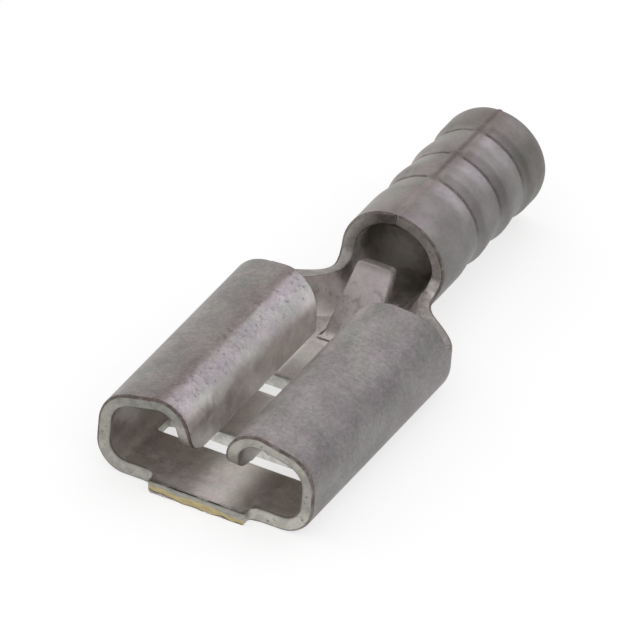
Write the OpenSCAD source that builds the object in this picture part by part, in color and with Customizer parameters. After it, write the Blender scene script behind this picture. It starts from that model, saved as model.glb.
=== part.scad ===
// Female spade terminal: an uninsulated push-on receptacle with a round wire barrel.
// It is one strip of tinned brass, blanked, rolled and folded in one piece.
// X runs across the width, Y from the blade opening to the wire end, and Z up.
// The origin is under the middle of the terminal, on the plane that it rests on.

/* [Strip] */
// Thickness of the brass strip
sheet_t = 0.45; // [0.3:0.01:0.55]

/* [Rolls] */
// Width over the outside of the two rolls
body_w = 7.5; // [7.2:0.1:9]
// Length of the rolls
body_l = 9; // [7.5:0.05:12]
// Height of the roll crests above the underside
roll_h = 3.06; // [2.96:0.02:3.6]
// Outer radius of the fold from the floor into the side walls
base_r = 1.05; // [0.7:0.05:1.2]
// Outer radius of the shoulder over each side wall
shoulder_r = 1.2; // [0.9:0.05:1.3]
// Height of the shoulder's centre above the underside
shoulder_z = 1.67; // [1.4:0.01:1.75]
// Outer radius of the curl that turns down to the blade
curl_r = 1.1; // [0.9:0.05:1.2]
// Gap between the two curls, where their straight lips begin
curl_gap = 1.24; // [0.9:0.02:1.6]
// Lean of the lips towards the middle, in degrees
lip_lean = 5; // [0:1:10]
// Clear height under the lips, for the blade
blade_gap = 0.75; // [0.6:0.01:1]
// Radius of the rounded front corner of each lip
lip_front_r = 0.9; // [0.3:0.05:1.1]
// Radius of the rounded rear corner of each lip
lip_rear_r = 0.3; // [0.1:0.05:0.6]
// Angle at which the rear edges slant forward over the curls, in degrees
rear_slant = 12; // [2:1:15]

/* [Floor] */
// Width of the carrier stub at the front
stub_w = 3.34; // [2:0.02:4.4]
// Length that the carrier stub stands out
stub_l = 0.47; // [0.2:0.01:1]
// Width of the two slots across the floor
slot_w = 5.5; // [3:0.1:5.6]
// Length of the front slot along the terminal
slot_front_l = 0.96; // [0.5:0.02:1.4]
// Length of the rear slot along the terminal
slot_rear_l = 1; // [0.5:0.02:1.4]
// Distance from the front edge of the floor to the front slot
slot_front_y = 2.12; // [1.4:0.02:2.4]
// Length of the bridge between the slots
bridge_l = 2.68; // [1.5:0.02:2.8]
// Corner radius of the slots
slot_r = 0.12; // [0.05:0.01:0.2]

/* [Neck] */
// Length of the neck from the rolls to the barrel
neck_l = 3.48; // [3.4:0.01:5]
// Length that the side walls run straight on before the neck narrows
side_run = 0.16; // [0.05:0.01:0.4]
// Height of the neck walls where they leave the rolls
neck_root_h = 1.8; // [1.6:0.02:1.9]
// Radius of the corner where the neck walls leave the rolls
root_corner_r = 0.4; // [0.2:0.05:0.5]
// Height of the neck walls at the waist
neck_waist_h = 1.36; // [1.2:0.02:1.5]
// Radius of the corner where the neck walls rise to the barrel mouth
mouth_r = 0.55; // [0.3:0.05:0.6]

/* [Wire stop] */
// Distance from the rolls to the root of the lanced tongue
tongue_y = 0.54; // [0.4:0.02:0.6]
// Length of the tongue along the strip
tongue_l = 2.8; // [1.8:0.05:2.8]
// Width of the tongue at its root
tongue_root_w = 1.5; // [1.1:0.02:1.8]
// Width of the tongue at its tip
tongue_tip_w = 1.06; // [0.6:0.02:1.3]
// Angle at which the tongue leaves the floor, in degrees
tongue_rise = 50; // [35:1:54]
// Further angle through which its tip is turned up, in degrees
tip_turn = 24; // [5:1:30]
// Radius of the corners of its tip
tip_corner_r = 0.16; // [0.05:0.01:0.25]
// Radius inside the bend at the root
root_r = 0.2; // [0.1:0.05:0.3]
// Radius inside the turn of the tip
tip_r = 0.8; // [0.5:0.05:1]
// Depth of the score across the root
score_d = 0.12; // [0.05:0.01:0.15]
// Sheared gap at each side of the tongue
lance_gap = 0.03; // [0.02:0.01:0.06]

/* [Barrel] */
// Outer diameter of the wire barrel
barrel_d = 3.6; // [3.3:0.05:4]
// Length of the wire barrel
barrel_l = 7.2; // [6.6:0.05:9]
// Number of serration grooves
groove_count = 3; // [1:1:3]
// Distance from the barrel mouth to the first groove
groove_y = 2.57; // [1.6:0.01:2.8]
// Distance from one groove to the next
groove_pitch = 1.57; // [1:0.01:1.7]
// Depth of the grooves
groove_d = 0.1; // [0.05:0.01:0.15]
// Width of the grooves
groove_w = 0.3; // [0.15:0.01:0.4]
// Angle from the seam at which the grooves start, in degrees
groove_start = 8; // [5:1:20]
// Fall of the surface from one groove to the next
land_fall = 0.04; // [0.01:0.01:0.06]
// Gap of the butted seam
seam_gap = 0.05; // [0.03:0.01:0.15]
// Depth of the rounding along the edges of the seam
seam_edge = 0.08; // [0.04:0.01:0.12]
// Radius of the strip's corners where the seam meets the barrel mouth
seam_corner_r = 0.28; // [0.1:0.02:0.4]

/* [Hidden] */
tin = [0.62, 0.6, 0.59];
// Degrees to one facet of a bend, and of a small corner
bend_step = 6;
corner_step = 15;
// Sections along the neck, and points across half of a section
neck_rings = 22;
neck_points = 20;
// How much more quickly the neck narrows at first than towards the barrel
neck_bias = 1.45;
// Overshoot of a cut past the face that it opens
over = 0.01;

rolls_y = stub_l;
neck_y = rolls_y + body_l;
barrel_y = neck_y + neck_l;
total_l = barrel_y + barrel_l;
barrel_r = barrel_d / 2;
bore_r = barrel_r - sheet_t;

// Centres of the bends in the right-hand roll, seen along the terminal
base_c = [body_w / 2 - base_r, base_r];
shoulder_c = [body_w / 2 - shoulder_r, shoulder_z];
curl_c = [curl_gap / 2 + curl_r, roll_h - curl_r];
// Direction that faces out of the flat between the shoulder and the curl
crest_span = curl_c - shoulder_c;
crest_a = atan2(crest_span.y, crest_span.x) - acos((shoulder_r - curl_r) / norm(crest_span));
// The lip is straight from the end of the curl down to the blade
lip_a = 180 - lip_lean;
lip_z = sheet_t + blade_gap;
lip_top = curl_c + curl_r * [cos(lip_a), sin(lip_a)];
lip_l = (lip_top.y - sheet_t * sin(lip_lean) - lip_z) / cos(lip_lean);

function arc(centre, r, from, to, step = bend_step) =
    let (n = ceil(abs(to - from) / step))
    [for (i = [0:n]) let (a = from + (to - from) * i / n) centre + r * [cos(a), sin(a)]];
function mirrored(points) = [for (p = points) [-p.x, p.y]];
function reversed(points) = [for (i = [len(points) - 1:-1:0]) points[i]];
function mix(a, b, k) = a + (b - a) * k;

// Extrudes a profile of X and Z along the terminal
module along_y(y, l)
    translate([0, y + l, 0]) rotate([90, 0, 0]) linear_extrude(l) children();

// Extrudes a profile of Y and Z across the terminal
module across_x(w)
    translate([-w / 2, 0, 0]) rotate([90, 0, 90]) linear_extrude(w) children();

// A surface of the right-hand roll at a depth under the outer skin, floor to lip
function roll_skin(depth) = concat(
    arc(base_c, base_r - depth, -90, 0),
    arc(shoulder_c, shoulder_r - depth, 0, crest_a),
    arc(curl_c, curl_r - depth, crest_a, lip_a),
    [lip_top + depth * [cos(lip_lean), -sin(lip_lean)] - lip_l * [sin(lip_lean), cos(lip_lean)]]);

// Floor, side walls, shoulders, curls and lips in one section
module roll_profile() {
    outer = roll_skin(0);
    inner = roll_skin(sheet_t);
    polygon(concat(reversed(mirrored(outer)), outer, reversed(inner), mirrored(inner)));
}

// What is trimmed from the lips at one end to round their lower corner
module lip_trim(y, r, way) {
    low = lip_z - blade_gap / 2;
    corner = arc([r, lip_z + r], r, 180, 270);
    across_x(2 * curl_c.x)
        polygon([
            for (p = concat([[-over, low], [-over, lip_z + r]], corner, [[r, low]]))
                [y + way * p.x, p.y]]);
}

// What is trimmed from the rear edges, so that they slant forward over the curls
module rear_trim() {
    depth = shoulder_c.x * tan(rear_slant);
    translate([0, neck_y, lip_z])
        linear_extrude(roll_h)
            polygon([
                [-shoulder_c.x, 0], [0, -depth], [shoulder_c.x, 0],
                [shoulder_c.x, over], [-shoulder_c.x, over]]);
}

// Remains of the tie to the carrier strip
module carrier_stub()
    translate([-stub_w / 2, 0, 0]) cube([stub_w, rolls_y + over, sheet_t]);

// Slot across the floor, with rounded corners
module slot(y, l) {
    x = slot_w / 2 - slot_r;
    s = l / 2 - slot_r;
    translate([0, y + l / 2, -over])
        linear_extrude(base_r)
            polygon(concat(
                arc([x, s], slot_r, 0, 90, corner_step), arc([-x, s], slot_r, 90, 180, corner_step),
                arc([-x, -s], slot_r, 180, 270, corner_step),
                arc([x, -s], slot_r, 270, 360, corner_step)));
}

module receptacle() {
    front = rolls_y + slot_front_y;
    difference() {
        union() {
            along_y(rolls_y, body_l) roll_profile();
            carrier_stub();
        }
        rear_trim();
        lip_trim(rolls_y, lip_front_r, 1);
        lip_trim(neck_y, lip_rear_r, -1);
        slot(front, slot_front_l);
        slot(front + slot_front_l + bridge_l, slot_rear_l);
    }
}

// The neck at the fraction u of its length. It eases from the section of the rolls
// to that of the barrel, quickly at first, and its edges rise again to the mouth.
narrow_l = neck_l - side_run;
function narrow_u(u) = max(0, u * neck_l - side_run) / narrow_l;
function turn_u(u) = 1 - (1 - narrow_u(u)) ^ neck_bias;
function eased(u) = (1 - cos(180 * turn_u(u))) / 2;
function ease_rate(u) =
    PI / 2 * sin(180 * turn_u(u)) * neck_bias * (1 - narrow_u(u)) ^ (neck_bias - 1) / narrow_l;
function half_w(u) = mix(body_w / 2, barrel_r, eased(u));
function fold_r(u) = mix(base_r, barrel_r, eased(u));

// Rise of an edge into a rounded inside corner, at a distance short of its end
function corner_rise(r, left) = left < r ? r - sqrt(r ^ 2 - (r - left) ^ 2) : 0;
function edge_h(u) =
    mix(neck_root_h, neck_waist_h, eased(u) ^ 3)
    + corner_rise(root_corner_r, u * neck_l) + corner_rise(mouth_r, (1 - u) * neck_l);

// A section is flat floor, fold, plain wall and the start of the shoulder. Where the
// fold has grown taller than the walls, it is cut off at the height of the edge.
function is_walled(u) = edge_h(u) > fold_r(u) && u * neck_l < neck_l - mouth_r;
function fold_a(u) = is_walled(u) ? 90 : acos(1 - edge_h(u) / fold_r(u));
function wall_l(u) = is_walled(u) ? min(edge_h(u), shoulder_z) - fold_r(u) : 0;
function top_a(u) =
    is_walled(u) ? asin(min(1, max(0, edge_h(u) - shoulder_z) / shoulder_r)) : 0;

// Sheet thickness in the plane of a section, where the skin faces angle a and
// its slope along the neck makes the section cut it at a slant
function slant_t(u, a) =
    let (w = (barrel_r - body_w / 2) * ease_rate(u), r = (barrel_r - base_r) * ease_rate(u))
    sheet_t * sqrt(1 + ((w - r) * sin(a) + r * (1 - cos(a))) ^ 2);

// Point at the fraction s of half a section, at a depth of 0 or 1 sheet
function neck_point(u, s, depth) =
    let (
        r = fold_r(u), flat = half_w(u) - r,
        fold_l = r * fold_a(u) * PI / 180, top_l = shoulder_r * top_a(u) * PI / 180,
        run = s * (flat + fold_l + wall_l(u) + top_l),
        a = 180 / PI * min(fold_l, max(0, run - flat)) / r,
        b = 180 / PI * max(0, run - flat - fold_l - wall_l(u)) / shoulder_r,
        up = min(wall_l(u), max(0, run - flat - fold_l)),
        x = min(run, flat) + r * sin(a) - shoulder_r * (1 - cos(b)),
        z = r * (1 - cos(a)) + up + shoulder_r * sin(b))
    [x, z] + depth * slant_t(u, a + b) * [-sin(a + b), cos(a + b)];

// One skin of a section, from the edge on the left to the edge on the right
function neck_skin(u, depth, y) = [
    for (i = [-neck_points:neck_points])
        let (p = neck_point(u, abs(i) / neck_points, depth)) [sign(i) * p.x, y, p.y]];
function neck_ring(u, inset, y) =
    concat(neck_skin(u, inset, y), reversed(neck_skin(u, 1 - inset, y)));

// Narrowing channel between the rolls and the barrel. Each end is tucked a
// little way into the sheet that it runs on into.
module neck() {
    tuck = 0.04;
    points = concat(
        neck_ring(0, tuck, neck_y - tuck),
        [
            for (k = [1:neck_rings])
                let (u = (1 - cos(180 * k / (neck_rings + 1))) / 2)
                each neck_ring(u, 0, neck_y + u * neck_l)],
        neck_ring(1, tuck, barrel_y + tuck));
    m = len(points) / (neck_rings + 2);
    skin = [
        for (k = [0:neck_rings], i = [0:m - 1])
            let (a = k * m + i, b = k * m + (i + 1) % m)
            each [[a, b + m, a + m], [a, b, b + m]]];
    front = [for (i = [m - 1:-1:0]) i];
    rear = [for (i = [0:m - 1]) (neck_rings + 1) * m + i];
    polyhedron(points, concat([front, rear], skin));
}

tongue_root_y = neck_y + tongue_y;

// Opening that the tongue was lanced from
module tongue_window() {
    root = tongue_root_w / 2 + lance_gap;
    tip = tongue_tip_w / 2 + lance_gap;
    translate([0, tongue_root_y, -over])
        linear_extrude(base_r)
            polygon([[-root, 0], [root, 0], [tip, tongue_l], [-tip, tongue_l]]);
}

// Centres of the bends in the tongue, seen from the side
tongue_up = [-sin(tongue_rise), cos(tongue_rise)];
root_c = [0, sheet_t + root_r];
root_l = (root_r + sheet_t / 2) * tongue_rise * PI / 180;
tip_l = (tip_r + sheet_t / 2) * tip_turn * PI / 180;
flank = (tongue_l - root_l - tip_l) * [cos(tongue_rise), sin(tongue_rise)];
tip_c = root_c + flank + (tip_r - root_r) * tongue_up;
rise_a = tongue_rise - 90;
tip_a = rise_a + tip_turn;
tip_z = tip_c.y + tip_r * sin(tip_a);

// Bend at the root, straight flank and turned-up tip
module tongue_profile()
    polygon(concat(
        [[-2 * score_d, sheet_t], [-2 * score_d, 0]],
        arc(root_c, root_r + sheet_t, -90, rise_a), arc(tip_c, tip_r + sheet_t, rise_a, tip_a),
        arc(tip_c, tip_r, tip_a, rise_a), arc(root_c, root_r, rise_a, -90)));

// Outline of the tongue from the front, tapering up to a tip with round corners
module tongue_outline() {
    root = tongue_root_w / 2;
    corner_c = [tongue_tip_w / 2 - tip_corner_r, tip_z - tip_corner_r];
    corner = arc(corner_c, tip_corner_r, 0, 90, corner_step);
    polygon(concat([[-root, 0], [root, 0]], corner, reversed(mirrored(corner))));
}

// Score across the root, where the tongue was creased
module root_score()
    translate([0, tongue_root_y, sheet_t])
        rotate([45, 0, 0])
            cube([tongue_root_w, score_d * sqrt(2), score_d * sqrt(2)], center = true);

module tongue() {
    difference() {
        intersection() {
            translate([0, tongue_root_y, 0]) across_x(2 * tongue_root_w) tongue_profile();
            along_y(tongue_root_y - 3 * score_d, 2 * tongue_l) tongue_outline();
        }
        root_score();
    }
}

function groove_at(i) = groove_y + (i - 1) * groove_pitch;

// Half section of the barrel's lands, each falling back to the next groove
module land_profile() {
    ends = [0, for (i = [1:groove_count]) groove_at(i), barrel_l];
    lands = [
        for (i = [0:groove_count])
            each [[barrel_r, ends[i]], [barrel_r - land_fall, ends[i + 1]]]];
    polygon(concat([[0, 0]], lands, [[0, barrel_l]]));
}

// One serration groove, left out on either side of the seam
module groove(i) {
    seam_a = -90;
    reach = groove_w / 2;
    rotate_extrude(angle = 360 - 2 * groove_start, start = seam_a + groove_start, $fn = 96)
        polygon([
            [barrel_r + over, groove_at(i) - reach],
            [barrel_r - groove_d, groove_at(i) + reach / 2],
            [barrel_r + over, groove_at(i) + reach]]);
}

// Butted seam with rounded edges, opening at the mouth between two round corners
module seam() {
    rounded = seam_gap / 2 + seam_edge;
    corner = seam_gap / 2 + seam_corner_r;
    top = 2 * barrel_r;
    translate([-seam_gap / 2, -over, barrel_r])
        cube([seam_gap, barrel_l + 2 * over, barrel_r + over]);
    along_y(-over, barrel_l + 2 * over)
        polygon([[0, top - rounded], [rounded + over, top + over], [-rounded - over, top + over]]);
    notch = arc([corner, seam_corner_r], seam_corner_r, 270, 180, corner_step);
    translate([0, 0, barrel_r])
        linear_extrude(barrel_r + over)
            polygon(concat(
                notch, reversed(mirrored(notch)), [[-corner, -over], [corner, -over]]));
}

// Round wire barrel, rolled until its edges butt along the top
module barrel() {
    translate([0, barrel_y, 0])
        difference() {
            translate([0, 0, barrel_r])
                rotate([-90, 0, 0])
                    difference() {
                        rotate_extrude($fn = 96) land_profile();
                        for (i = [1:groove_count]) groove(i);
                    }
            translate([0, -over, barrel_r])
                rotate([-90, 0, 0])
                    cylinder(r = bore_r, h = barrel_l + 2 * over, $fn = 96);
            seam();
        }
}

module terminal() {
    color(tin)
        translate([0, -total_l / 2, 0]) {
            receptacle();
            difference() {
                neck();
                tongue_window();
                root_score();
            }
            tongue();
            barrel();
        }
}

terminal();
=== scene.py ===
import math

import bpy
from bpy.props import FloatProperty, FloatVectorProperty, IntProperty, PointerProperty
from mathutils import Matrix, Vector, noise


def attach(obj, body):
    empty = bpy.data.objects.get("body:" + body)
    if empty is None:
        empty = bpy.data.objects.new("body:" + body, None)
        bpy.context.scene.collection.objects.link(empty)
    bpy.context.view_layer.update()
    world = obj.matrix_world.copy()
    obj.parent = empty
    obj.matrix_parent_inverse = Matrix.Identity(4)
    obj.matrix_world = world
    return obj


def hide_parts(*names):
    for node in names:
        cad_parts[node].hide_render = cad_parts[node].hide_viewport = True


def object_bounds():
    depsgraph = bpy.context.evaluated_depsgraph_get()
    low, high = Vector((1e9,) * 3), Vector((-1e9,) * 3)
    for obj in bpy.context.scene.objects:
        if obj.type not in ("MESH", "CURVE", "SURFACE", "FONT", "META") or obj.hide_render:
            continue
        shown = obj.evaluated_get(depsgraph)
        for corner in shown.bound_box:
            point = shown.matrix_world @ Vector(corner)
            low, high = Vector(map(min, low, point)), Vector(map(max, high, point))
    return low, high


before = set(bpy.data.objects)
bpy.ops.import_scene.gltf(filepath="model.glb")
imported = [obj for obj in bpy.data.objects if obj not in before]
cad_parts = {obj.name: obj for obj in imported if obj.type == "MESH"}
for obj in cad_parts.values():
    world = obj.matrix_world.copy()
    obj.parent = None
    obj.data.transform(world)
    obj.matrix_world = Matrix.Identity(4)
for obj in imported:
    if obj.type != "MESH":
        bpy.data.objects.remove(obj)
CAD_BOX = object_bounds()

bl_info = {
    "name": "Spade Terminal",
    "version": (1, 0, 0),
    "blender": (4, 5, 0),
    "location": "3D View > Sidebar > Terminal",
    "description": "Folds a female spade terminal from a tinned brass strip and sets its stage",
    "category": "Add Mesh",
}

MM = 0.001
HALF = math.sqrt(0.5)     # the sine and the cosine of an eighth of a turn
NODE = "terminal"
# Material slots: plated outside, sheared edges, cut-off stub, plated inside, arrises
OUTSIDE, SHEARED, BARE, INSIDE, ARRIS = range(5)
WELD = 0.001              # how near two vertices are welded, in millimetres
SLACK = 0.05              # how far past a limit a face or an edge is still picked, likewise
TINY = 1e-6
MOST_TRIANGLES = 200000


def length(name, description, millimetres):
    """A size in the sidebar, in metres, with its default given in millimetres."""
    return FloatProperty(
        name=name, description=description, default=millimetres * MM,
        min=0.0, precision=5, unit="LENGTH")


def angle(name, description, degrees):
    return FloatProperty(
        name=name, description=description, default=math.radians(degrees), subtype="ANGLE")


def colour(name, description, value):
    return FloatVectorProperty(
        name=name, description=description, default=value, size=3, min=0.0, max=1.0,
        subtype="COLOR")


class TerminalSizes(bpy.types.PropertyGroup):
    """Sizes of the strip and of its folds"""

    sheet: length("Sheet", "Thickness of the strip", 0.45)
    width: length("Width", "Width over the rolls", 7.5)
    rolls: length("Rolls", "Length of the rolls", 9.0)
    height: length("Height", "Height of the roll crests", 3.06)
    base_r: length("Base fold", "Outer radius of the fold at the floor", 1.05)
    shoulder_r: length("Shoulder", "Outer radius over the side wall", 1.2)
    shoulder_z: length("Shoulder height", "Height of the shoulder's centre", 1.67)
    curl_r: length("Curl", "Outer radius of the curl", 1.1)
    curl_gap: length("Curl gap", "Gap between the curls", 1.24)
    lip_lean: angle("Lip lean", "Lean of the lips towards the middle", 5)
    blade_gap: length("Blade gap", "Height under the lips", 0.75)
    lip_front_r: length("Lip front", "Radius of the lips' front corners", 1.2)
    lip_rear_r: length("Lip rear", "Radius of the lips' rear corners", 0.3)
    rear_slant: angle("Rear slant", "Slant of the rear edges over the curls", 12)
    stub_w: length("Stub width", "Width of the carrier stub", 3.34)
    stub_l: length("Stub", "Length of the carrier stub", 0.47)
    stub_root_r: length("Stub root", "Radius where the stub leaves the floor", 0.2)
    stub_corner_r: length("Stub corner", "Radius of the stub's corners", 0.05)
    slot_w: length("Slot width", "Width of the floor slots", 5.5)
    slot_front_y: length("Slot place", "From the front edge to the front slot", 2.12)
    slot_front_l: length("Front slot", "Length of the front slot", 0.96)
    slot_rear_l: length("Rear slot", "Length of the rear slot", 1.0)
    bridge: length("Bridge", "Length of the bridge between the slots", 2.68)
    slot_r: length("Slot corner", "Radius of the slots' corners", 0.12)
    neck: length("Neck", "Length of the neck", 3.48)
    side_run: length("Side run", "Straight run of the side walls past the rolls", 0.16)
    neck_root_h: length("Neck root", "Height of the neck walls at the rolls", 1.8)
    root_corner_r: length("Root corner", "Radius where the neck walls leave the rolls", 0.4)
    neck_waist_h: length("Neck waist", "Height of the neck walls at the waist", 1.36)
    mouth_r: length("Mouth corner", "Radius where the walls rise to the mouth", 0.55)
    tongue_y: length("Tongue place", "From the rolls to the tongue's root", 0.54)
    tongue_l: length("Tongue", "Length of the lanced tongue", 2.9)
    score_gap: length("Score place", "From the score to the tongue's root", 0.19)
    score_d: length("Score", "Depth of the score across the tongue's root", 0.08)
    tongue_root_w: length("Tongue root", "Width of the tongue at its root", 1.82)
    tongue_tip_w: length("Tongue tip", "Width of the tongue at its tip", 1.24)
    tongue_rise: angle("Tongue rise", "Angle at which the tongue leaves the floor", 50)
    tip_turn: angle("Tip turn", "Further turn of the tongue's tip", 24)
    barrel_d: length("Barrel", "Outer diameter of the wire barrel", 3.6)
    barrel_l: length("Barrel length", "Length of the wire barrel", 7.2)
    grooves: IntProperty(name="Grooves", description="Number of grooves", default=3, min=1)
    groove_y: length("First groove", "From the mouth to the first groove", 2.57)
    groove_pitch: length("Groove pitch", "From one groove to the next", 1.57)
    groove_d: length("Groove depth", "Depth of the grooves", 0.1)
    groove_rise: length("Groove rise", "Run over which the land rises after a groove", 0.55)
    land_fall: length("Land fall", "Run over which the land falls to the next groove", 1.05)
    crease_d: length("Crease", "Depth of the crease along each groove", 0.035)
    crease_w: length("Crease width", "How far the crease reaches on each side", 0.09)
    chamfer: length("Chamfer", "How far the barrel's end is drawn in", 0.06)
    seam_gap: length("Seam", "Gap of the butted seam", 0.002)
    seam_corner_r: length("Seam corner", "Radius of the corners at the mouth", 0.06)
    arris: length("Arris", "Rounding of the outer arrises", 0.08)
    fine_arris: length("Fine arris", "Rounding of the inner and small arrises", 0.03)
    lead_in: length("Lead-in", "Rounding inside the front opening", 0.1)
    crest_thin: length("Crest", "How much thinner the sheet is drawn over the crests", 0.03)


class TerminalFinish(bpy.types.PropertyGroup):
    """Colours of the finish"""

    # The inside colour is painted light: it is far paler than the plate outside, so the rolls and
    # the neck look lit where shade falls
    inside: colour("Inside", "Unrubbed plate inside the rolls and the neck", (0.74, 0.70, 0.66))
    bore: colour("Bore", "Stained plate inside the barrel", (0.35, 0.325, 0.295))
    sheared: colour("Sheared edge", "Smeared tin and brass on the edges", (0.36, 0.35, 0.315))
    stain: colour("Stain", "Dirt in creases, pits and along the arrises", (0.11, 0.095, 0.085))
    brass: colour("Brass", "Bare brass of the cut-off stub", (0.49, 0.41, 0.23))
    mottle: FloatProperty(
        name="Mottle", description="Strength of the mottling", default=1.0, min=0.0)


# Thin brown dirt in pits and creases and on the arrises, also used as painted shade in the hollow
# of the right curl
WARM_DIRT = (0.140, 0.112, 0.102)

# Tones of the rubbed plate across the rolls and across the barrel, by X in millimetres. They carry
# painted light and shade too: lighter on the left, darker down the right flanks, and painted light
# low inside the curls, where shade would fall.
ROLL_TONES = (
    (-3.75, (0.350, 0.335, 0.315)), (-3.20, (0.365, 0.350, 0.335)),
    (-2.60, (0.335, 0.312, 0.300)), (-2.05, (0.315, 0.285, 0.276)),
    (-1.80, (0.285, 0.245, 0.240)), (-1.62, (0.315, 0.272, 0.270)),
    (-1.45, (0.465, 0.420, 0.435)), (-1.15, (0.510, 0.475, 0.500)),
    (-0.88, (0.600, 0.570, 0.580)), (-0.74, (0.680, 0.650, 0.640)),
    (-0.64, (0.700, 0.670, 0.640)), (0.64, (0.680, 0.635, 0.610)),
    (0.95, (0.370, 0.346, 0.332)), (1.50, (0.340, 0.323, 0.314)),
    (2.00, (0.345, 0.322, 0.320)), (2.80, (0.328, 0.304, 0.306)),
    (3.30, (0.272, 0.256, 0.258)), (3.75, (0.255, 0.244, 0.240)))
BARREL_TONES = (
    (-1.80, (0.345, 0.328, 0.310)), (-0.70, (0.350, 0.327, 0.312)),
    (-0.20, (0.310, 0.280, 0.272)), (0.20, (0.305, 0.273, 0.268)),
    (0.55, (0.355, 0.326, 0.331)), (1.05, (0.340, 0.315, 0.315)),
    (1.40, (0.260, 0.245, 0.241)), (1.80, (0.215, 0.208, 0.202)))


# ---------------------------------------------------------------- folding the strip

def fold(path, run):
    """Follows a folded path of (length, 0) flats and (radius, angle) bends for a run of
    sheet, from the origin along +X, and gives the point and the heading there."""
    x = z = heading = 0.0
    for size, turn in path:
        if turn:
            part = min(run, size * turn)
            x += size * (math.sin(heading + part / size) - math.sin(heading))
            z += size * (math.cos(heading) - math.cos(heading + part / size))
            heading += part / size
        else:
            part = min(run, size)
            x += part * math.cos(heading)
            z += part * math.sin(heading)
        run -= part
        if run <= TINY:
            break
    return x, z, heading


def path_length(path):
    """Run of sheet along a whole path."""
    return sum(size * turn if turn else size for size, turn in path)


def corner(radius, left):
    """How far a rounded corner draws an edge back, at a distance short of its end."""
    left = max(0.0, left)
    return radius - math.sqrt(radius ** 2 - (radius - left) ** 2) if left < radius else 0.0


def mix(a, b, k):
    return a + (b - a) * k


def ease(value, start, end):
    """A smooth step from 0 at the start to 1 at the end."""
    k = max(0.0, min(1.0, (value - start) / (end - start)))
    return k * k * (3 - 2 * k)


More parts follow.
